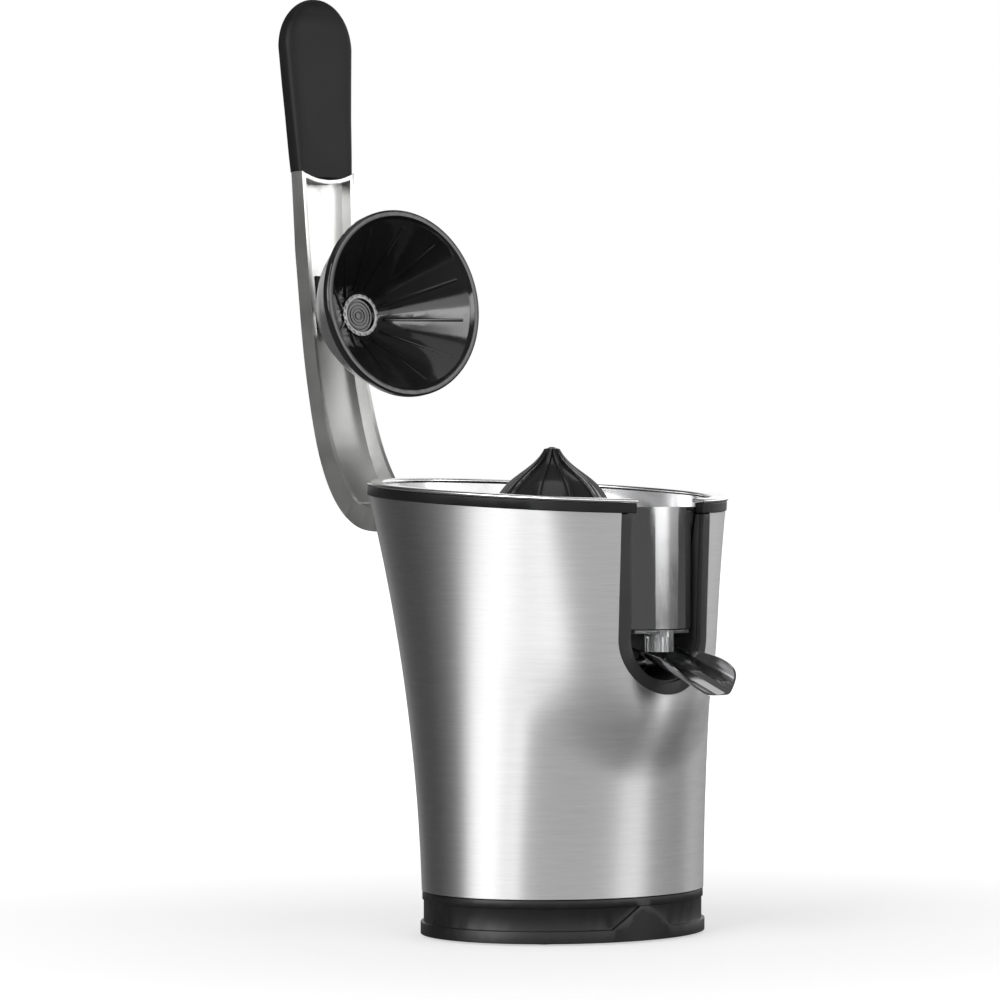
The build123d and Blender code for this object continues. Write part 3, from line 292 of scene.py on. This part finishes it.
MATERIAL_OF = {node: material for material, names in FINISH.items() for node in names.split()}
for node, material in MATERIAL_OF.items():
    slots = NODES[node].data.materials
    slots.clear()
    slots.append(material)


# ---- pieces that round off the CAD shapes ------------------------------------------------------
WELD = 2e-6                      # metres
EDGE_ANGLE = math.radians(38.0)  # a sharper bend than this is an edge


def adopt(piece, node):
    """The piece takes a CAD node's place and body, and the node is hidden."""
    bpy.context.scene.collection.objects.link(piece)
    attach(piece, BODY_OF[node])
    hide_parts(node)


def welded_copy(node, name, cuts=()):
    """Smooth copy of a CAD node's mesh, its faces welded and then cut by planes."""
    mesh = NODES[node].data.copy()
    mesh.name = name
    form = bmesh.new()
    form.from_mesh(mesh)
    bmesh.ops.remove_doubles(form, verts=form.verts, dist=WELD)
    for place, normal in cuts:
        bmesh.ops.bisect_plane(form, geom=form.verts[:] + form.edges[:] + form.faces[:],
                               plane_co=Vector(place) * MM, plane_no=normal, dist=WELD / 2)
    form.to_mesh(mesh)
    form.free()
    mesh.materials.clear()
    mesh.materials.append(MATERIAL_OF[node])
    mesh.shade_smooth()
    return mesh


def eased(node, width):
    """A copy of a CAD node with smooth shading and eased edges; the width is in millimetres."""
    mesh = welded_copy(node, node + "_eased")
    mesh.set_sharp_from_angle(angle=EDGE_ANGLE)
    piece = bpy.data.objects.new(node + "_piece", mesh)
    bevel = piece.modifiers.new("edges", "BEVEL")
    bevel.width = width * MM
    bevel.segments = 3
    bevel.limit_method = "ANGLE"
    bevel.angle_limit = EDGE_ANGLE
    bevel.use_clamp_overlap = True
    bevel.harden_normals = True
    adopt(piece, node)


EASED = {
    "lever_arm": 0.7, "cup_dome": 0.5, "cup_liner": 0.35, "cup_hub_screw": 0.25, "cup_lock_ring": 0.2,
    "base_ring": 0.5, "recess_frame": 0.6, "recess_lining": 0.3, "top_collar": 0.5, "rim_trim": 0.3,
    "juice_tank": 0.25, "tank_channel": 0.5, "spout_scoop": 0.3, "outlet_nozzle": 0.3, "strainer": 0.25,
    "reamer_cone": 0.5, "hinge_bracket": 0.6, "hinge_caps": 0.5, "cord_inlet": 0.5,
    "rubber_feet": 0.4, "base_cover": 0.4, "cup_bumper": 0.4,
}
for node, width in EASED.items():
    eased(node, width)


# ---- steel shell with exact surface normals ----------------------------------------------------
# Millimetres, as in the CAD: the sheet flares from the foot oval to the tilted rim oval, and near the
# juice recess it is drawn forward to a more upright form.
BASE_TOP, FLARE_RISE, RIM_TILT = 23.0, 196.7, math.radians(3.26)
FLARE_LINEAR = 0.24                                               # the rest of the flare is parabolic
FOOT_OVAL, RIM_OVAL = (76.4, 64.5, -9.25), (84.5, 102.1, 5.3)     # half x, half y, centre y
UPRIGHT_LOW, UPRIGHT_LOW_Z = (82.0, 97.3, 5.3), 105.0
RECESS_R, RECESS_ROUND_Z, LAND_REACH = 29.5, 153.0, 46.0
FRONT_Y, LAND_Y = -85.0, -80.0   # where the flare's front and the land's tilt are taken
LAND_BACK_Y = -30.0              # the land lies ahead of this
CUT_STEP, CUT_HALF_X, CUT_LOW_Z, CUT_TOP_Z = 6, 72, 28, 220
ROUND_FACING = 0.8               # below this, a face is an edge of the sheet and keeps its own normal


def oval_between(first, second, share):
    return [a + (b - a) * share for a, b in zip(first, second)]


def flare_oval(y, z):
    """Half sizes and centre of the body's oval on the tilted plane through (y, z).

    The plane's tilt depends on its height share, which settles in a few rounds.
    """
    up = (z - BASE_TOP) / FLARE_RISE
    for _ in range(4):
        up = (z - BASE_TOP - math.tan(RIM_TILT * up) * y) / FLARE_RISE
    return oval_between(FOOT_OVAL, RIM_OVAL, FLARE_LINEAR * up + (1.0 - FLARE_LINEAR) * up * up)


def oval_front(oval, x):
    half_x, half_y, centre_y = oval
    return centre_y - half_y * math.sqrt(max(0.0, 1.0 - (x / half_x) ** 2))


def land_depth(x, z):
    """How far the sheet stands out ahead of the flare near the recess."""
    outside = math.hypot(x, min(0.0, z - RECESS_ROUND_Z)) - RECESS_R
    near = 1.0 - min(1.0, max(0.0, outside) / LAND_REACH)
    share = near ** 3 * (near * (near * 6 - 15) + 10)
    up = (z - LAND_Y * math.tan(RIM_TILT) - UPRIGHT_LOW_Z) / (BASE_TOP + FLARE_RISE - UPRIGHT_LOW_Z)
    upright = oval_front(oval_between(UPRIGHT_LOW, RIM_OVAL, up), x)
    return max(0.0, oval_front(flare_oval(FRONT_Y, z), x) - upright) * share


def skin_level(x, y, z):
    """Grows outwards through the sheet's surface."""
    if y < LAND_BACK_Y:
        y += land_depth(x, z)
    half_x, half_y, centre_y = flare_oval(y, z)
    return math.hypot(x / half_x, (y - centre_y) / half_y)


def skin_normal(x, y, z):
    """Unit gradient of skin_level."""
    step = 0.05
    return Vector((skin_level(x + step, y, z) - skin_level(x - step, y, z),
                   skin_level(x, y + step, z) - skin_level(x, y - step, z),
                   skin_level(x, y, z + step) - skin_level(x, y, z - step))).normalized()


def shell_piece():
    """Copy of the shell, finely cut, with the normals of the true surface."""
    cuts = [((x, 0, 0), (1, 0, 0)) for x in range(-CUT_HALF_X, CUT_HALF_X + 1, CUT_STEP)]
    cuts += [((0, 0, z), (0, 0, 1)) for z in range(CUT_LOW_Z, CUT_TOP_Z, CUT_STEP)]
    mesh = welded_copy("outer_shell", "outer_shell_fine", cuts)
    outward = [skin_normal(*(c / MM for c in vert.co)) for vert in mesh.vertices]
    normals = []
    for face in mesh.polygons:
        for index in face.vertices:
            facing = face.normal.dot(outward[index])
            if abs(facing) < ROUND_FACING:
                normals.append(face.normal.copy())
            else:
                normals.append(outward[index] * math.copysign(1.0, facing))
    mesh.normals_split_custom_set(normals)
    adopt(bpy.data.objects.new("outer_shell_piece", mesh), "outer_shell")


shell_piece()


# ---- handle grip -------------------------------------------------------------------------------
# (height, y) of the grip's front and back, in millimetres
GRIP_FRONT = [(396.0, 196.3), (410.0, 197.1), (430.0, 198.6), (450.0, 200.1), (470.0, 201.6), (489.0, 203.8)]
GRIP_BACK = [(396.0, 208.6), (410.0, 210.6), (430.0, 212.8), (450.0, 214.7), (470.0, 216.1), (480.0, 215.8),
             (489.0, 215.0)]
GRIP_LOW_Z, GRIP_TOP_Z = 401.0, 496.9
GRIP_SHOULDER_Z, GRIP_CROWN_Z = 470.0, 482.0      # from here it rounds off in width, and in depth
GRIP_END_GAP = 0.02                               # keeps the last row from closing to a point
GRIP_HALF_LOW, GRIP_HALF_TOP = 17.9, 22.2
GRIP_ARC_R, GRIP_ARC_Z = 36.45, 433.1             # the sagging lower edge
GRIP_EDGE_ANGLE = math.radians(50.0)
GRIP_AROUND, GRIP_ALONG = 72, 90                  # points in a row, and rows
GRIP_ROW_BIAS = 1.35                              # rows lie closer together towards the top
GRIP_SAG_FADE = 6                                 # how fast the sag of the rows fades upwards
# The section is a superellipse: its exponent, and how much squarer it is over the reach at the low end
GRIP_SQUARE, GRIP_SQUARE_LOW, GRIP_SQUARE_REACH = 4.5, 1.5, 30.0


def table_value(rows, at):
    """Value between the rows of (position, value), flat beyond the ends."""
    if at <= rows[0][0]:
        return rows[0][1]
    for (low, first), (high, second) in zip(rows, rows[1:]):
        if at <= high:
            share = (at - low) / (high - low)
            return first + (second - first) * share
    return rows[-1][1]


def signed_power(value, exponent):
    return math.copysign(abs(value) ** exponent, value)


def rounding(height, start):
    """Falls from 1 at the start to 0 at the grip's top along a quarter of an ellipse."""
    if height <= start:
        return 1.0
    up = (height - start) / (GRIP_TOP_Z + GRIP_END_GAP - start)
    return math.sqrt(max(0.0, 1.0 - up * up))


def grip_row(share):
    """One closed row of the grip's points, at this share of the way up."""
    height = GRIP_LOW_Z + (GRIP_TOP_Z - GRIP_LOW_Z) * (1.0 - (1.0 - share) ** GRIP_ROW_BIAS)
    up = min(1.0, (height - GRIP_LOW_Z) / (GRIP_SHOULDER_Z - GRIP_LOW_Z))
    half_x = (GRIP_HALF_LOW + (GRIP_HALF_TOP - GRIP_HALF_LOW) * up) * rounding(height, GRIP_SHOULDER_Z)
    front, back = table_value(GRIP_FRONT, height), table_value(GRIP_BACK, height)
    half_y = (back - front) / 2 * rounding(height, GRIP_CROWN_Z)
    low_share = max(0.0, 1.0 - (height - GRIP_LOW_Z) / GRIP_SQUARE_REACH)
    power = 2.0 / (GRIP_SQUARE + GRIP_SQUARE_LOW * low_share)
    for step in range(GRIP_AROUND):
        turn = 2 * math.pi * step / GRIP_AROUND
        x = half_x * signed_power(math.cos(turn), power)
        y = (front + back) / 2 + half_y * signed_power(math.sin(turn), power)
        arc_z = GRIP_ARC_Z - math.sqrt(GRIP_ARC_R ** 2 - x * x)
        sag = (arc_z - GRIP_LOW_Z) * (1.0 - share) ** GRIP_SAG_FADE
        yield x * MM, y * MM, (height + sag) * MM


def grip_piece():
    """Handle grip: a flattened paddle with soft edges that ends in a sagging line over the arm."""
    verts = [point for row in range(GRIP_ALONG + 1) for point in grip_row(row / GRIP_ALONG)]
    faces = []
    for start in range(0, GRIP_ALONG * GRIP_AROUND, GRIP_AROUND):
        for step in range(GRIP_AROUND):
            a, b = start + step, start + (step + 1) % GRIP_AROUND
            faces.append((a, b, b + GRIP_AROUND, a + GRIP_AROUND))
    faces.append(tuple(range(GRIP_AROUND - 1, -1, -1)))
    faces.append(tuple(range(GRIP_ALONG * GRIP_AROUND, (GRIP_ALONG + 1) * GRIP_AROUND)))
    mesh = bpy.data.meshes.new("grip")
    mesh.from_pydata(verts, [], faces)
    mesh.materials.append(MATERIAL_OF["handle_grip"])
    mesh.shade_smooth()
    mesh.set_sharp_from_angle(angle=GRIP_EDGE_ANGLE)
    adopt(bpy.data.objects.new("handle_grip_piece", mesh), "handle_grip")


grip_piece()


# ---- camera ------------------------------------------------------------------------------------
CAMERA_PLACE = Vector((-1.3755, -1.7172, 0.221))
LOOK = Vector((0.6157, 0.7880, 0.0))

camera_data = bpy.data.cameras.new("camera")
camera_data.lens = 154.4
camera_data.sensor_width = 36.0
camera_data.clip_end = 200.0
camera = bpy.data.objects.new("camera", camera_data)
camera.location = CAMERA_PLACE
camera.rotation_euler = LOOK.to_track_quat("-Z", "Y").to_euler()
scene = bpy.context.scene
scene.collection.objects.link(camera)
scene.camera = camera
scene.view_settings.view_transform = "Standard"
scene.view_settings.look = "None"


# ---- light -------------------------------------------------------------------------------------
def softbox(name, bearing, distance, height, size, radiance, aim=(0.0, 0.0, 0.2)):
    """Area light at a bearing in degrees from the camera's side, positive to its right."""
    data = bpy.data.lights.new(name, "AREA")
    data.shape = "RECTANGLE"
    data.size, data.size_y = size
    data.energy = radiance * size[0] * size[1] * math.pi
    light = bpy.data.objects.new(name, data)
    towards = Matrix.Rotation(math.radians(bearing), 3, "Z") @ (-LOOK)
    light.location = Vector((towards.x * distance, towards.y * distance, height))
    light.rotation_euler = (Vector(aim) - light.location).to_track_quat("-Z", "Y").to_euler()
    scene.collection.objects.link(light)


softbox("overhead", bearing=0.0, distance=0.4, height=2.3, size=(1.6, 1.6), radiance=0.8)
softbox("behind_top", bearing=165.0, distance=1.6, height=1.7, size=(1.2, 0.8), radiance=0.6,
        aim=(0.0, 0.0, 0.3))
softbox("cup_key", bearing=-24.5, distance=1.6, height=1.25, size=(0.28, 1.1), radiance=6.0,
        aim=(0.0, 0.1, 0.33))

# Soft studio walls: brightness by compass direction round the object, bearings as for the softboxes.
WALLS = [(-180, 0.95), (-160, 0.75), (-148, 0.22), (-128, 0.03), (-108, 0.05), (-92, 0.30), (-80, 0.80),
         (-72, 2.6), (-65, 5.2), (-54, 6.5), (-42, 6.5), (-33, 4.8), (-26, 3.0), (-18, 2.3), (0, 2.1),
         (30, 2.1), (48, 2.3), (55, 3.0), (62, 4.2), (75, 4.2), (83, 1.6), (96, 1.2), (116, 0.9),
         (124, 1.6), (146, 1.3), (180, 1.1)]
CEILING = 0.12
WALL_TOP = (0.28, 0.55)          # the walls fade into the ceiling between these upward slopes
BRIGHTEST = 6.5


def wall_tone(level):
    return (level / BRIGHTEST,) * 3


def studio_world():
    """World whose walls light the object, while the camera sees plain white."""
    made = bpy.data.worlds.new("studio")
    made.use_nodes = True
    studio = Graph(made.node_tree)
    direction = studio.add("ShaderNodeTexCoord").outputs["Generated"]
    turn = studio.add("ShaderNodeVectorRotate", {"Angle": -math.atan2(-LOOK.y, -LOOK.x)},
                      rotation_type="Z_AXIS")
    studio.link(direction, turn.inputs["Vector"])
    turned = studio.parts(turn.outputs["Vector"])
    bearing = studio.compute("ARCTAN2", turned["Y"], turned["X"])
    ramp = studio.add("ShaderNodeValToRGB")
    stops = ramp.color_ramp.elements
    stops.remove(stops[-1])
    stops[0].color = (*wall_tone(WALLS[0][1]), 1.0)
    for degrees, level in WALLS[1:]:
        stops.new((degrees + 180) / 360).color = (*wall_tone(level), 1.0)
    studio.link(studio.span(bearing, 0.0, 1.0, from_low=-math.pi, from_high=math.pi), ramp.inputs["Fac"])
    low, high = WALL_TOP
    height = studio.span(studio.parts(direction)["Z"], 0.0, 1.0, from_low=low, from_high=high,
                         interpolation_type="SMOOTHSTEP")
    tone = studio.blend(height, ramp.outputs["Color"], wall_tone(CEILING))
    room = studio.tree.nodes["Background"]
    room.inputs["Strength"].default_value = BRIGHTEST
    studio.link(tone, room.inputs["Color"])
    white = studio.add("ShaderNodeBackground", {"Color": (1.0, 1.0, 1.0, 1.0)})
    studio.surface(room.outputs["Background"], white.outputs["Background"], studio.tree.nodes["World Output"])
    return made


scene.world = studio_world()


# ---- floor -------------------------------------------------------------------------------------
FLOOR_HALF = 40.0
FLOOR_CORNERS = [(-1, -1), (1, -1), (1, 1), (-1, 1)]


def floor_material():
    """Pale floor with a painted glow that grows with distance from the object, so that it fades into the
    white background; it throws little light back.
    """
    paint = Paint("pale_floor", (0.50, 0.50, 0.50), 0.8, **{"Emission Color": (1.0, 1.0, 1.0, 1.0)})
    distance = paint.add("ShaderNodeVectorMath", operation="LENGTH")
    paint.link(paint.place, distance.inputs[0])
    # painted glow: emission strength rises from 0.55 near the object to 1.0 farther out
    paint.link(paint.span(distance.outputs["Value"], 0.55, 1.0, from_low=0.15, from_high=0.9),
               paint.shader.inputs["Emission Strength"])
    dim = paint.add("ShaderNodeBsdfDiffuse", {"Color": (0.22, 0.22, 0.22, 1.0)})
    paint.surface(dim.outputs["BSDF"], paint.shader.outputs["BSDF"], paint.tree.nodes["Material Output"])
    return paint.material


floor_mesh = bpy.data.meshes.new("floor")
floor_mesh.from_pydata([(x * FLOOR_HALF, y * FLOOR_HALF, 0) for x, y in FLOOR_CORNERS], [], [(0, 1, 2, 3)])
floor_mesh.materials.append(floor_material())
floor = bpy.data.objects.new("floor", floor_mesh)
scene.collection.objects.link(floor)
